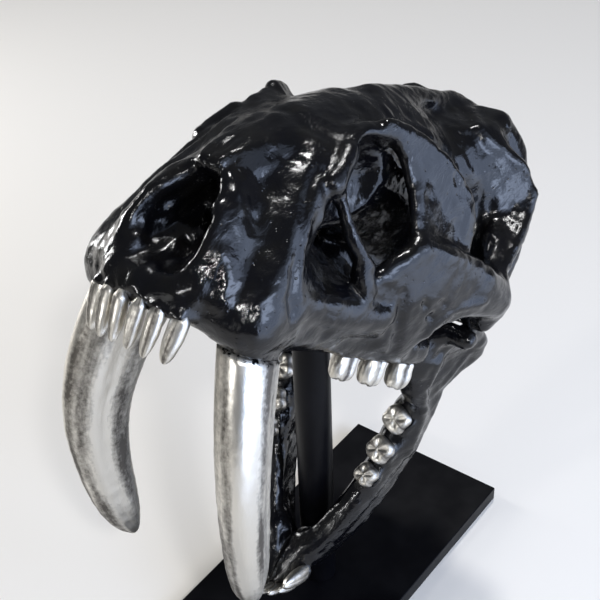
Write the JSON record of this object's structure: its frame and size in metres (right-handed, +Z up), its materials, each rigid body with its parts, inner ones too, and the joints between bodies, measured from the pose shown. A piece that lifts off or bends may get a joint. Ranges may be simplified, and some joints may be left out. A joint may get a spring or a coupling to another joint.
{
  "type": "sabre-toothed cat skull on stand",
  "caption": "Black lacquered sabre-toothed cat skull with silver-leafed teeth, jaws wide open, held on a round post over a flat rectangular plate",
  "frame": {"origin": "middle of the base plate's underside, below the post", "axes": "+X towards the snout, +Y to the animal's left, +Z up"},
  "size_m": [0.3734, 0.2094, 0.4239],
  "materials": {
    "black_lacquer": "glossy black lacquer with fine hand-modelled relief",
    "silver_leaf": "silver leaf, worn in streaks",
    "black_metal": "satin black paint on steel"
  },
  "bodies": {
    "root": {"cranium": "black_lacquer", "mandible": "black_lacquer", "upper_canine_left": "silver_leaf", "upper_incisor_1_left": "silver_leaf", "upper_incisor_2_left": "silver_leaf", "upper_incisor_3_left": "silver_leaf", "upper_cheek_1_left": "silver_leaf", "upper_cheek_2_left": "silver_leaf", "upper_cheek_3_left": "silver_leaf", "lower_canine_left": "silver_leaf", "lower_incisor_1_left": "silver_leaf", "lower_incisor_2_left": "silver_leaf", "lower_incisor_3_left": "silver_leaf", "lower_cheek_1_left": "silver_leaf", "lower_cheek_2_left": "silver_leaf", "lower_cheek_3_left": "silver_leaf", "upper_canine_right": "silver_leaf", "upper_incisor_1_right": "silver_leaf", "upper_incisor_2_right": "silver_leaf", "upper_incisor_3_right": "silver_leaf", "upper_cheek_1_right": "silver_leaf", "upper_cheek_2_right": "silver_leaf", "upper_cheek_3_right": "silver_leaf", "lower_canine_right": "silver_leaf", "lower_incisor_1_right": "silver_leaf", "lower_incisor_2_right": "silver_leaf", "lower_incisor_3_right": "silver_leaf", "lower_cheek_1_right": "silver_leaf", "lower_cheek_2_right": "silver_leaf", "lower_cheek_3_right": "silver_leaf", "post": "black_metal", "base_plate": "black_metal"}
  },
  "joints": []
}
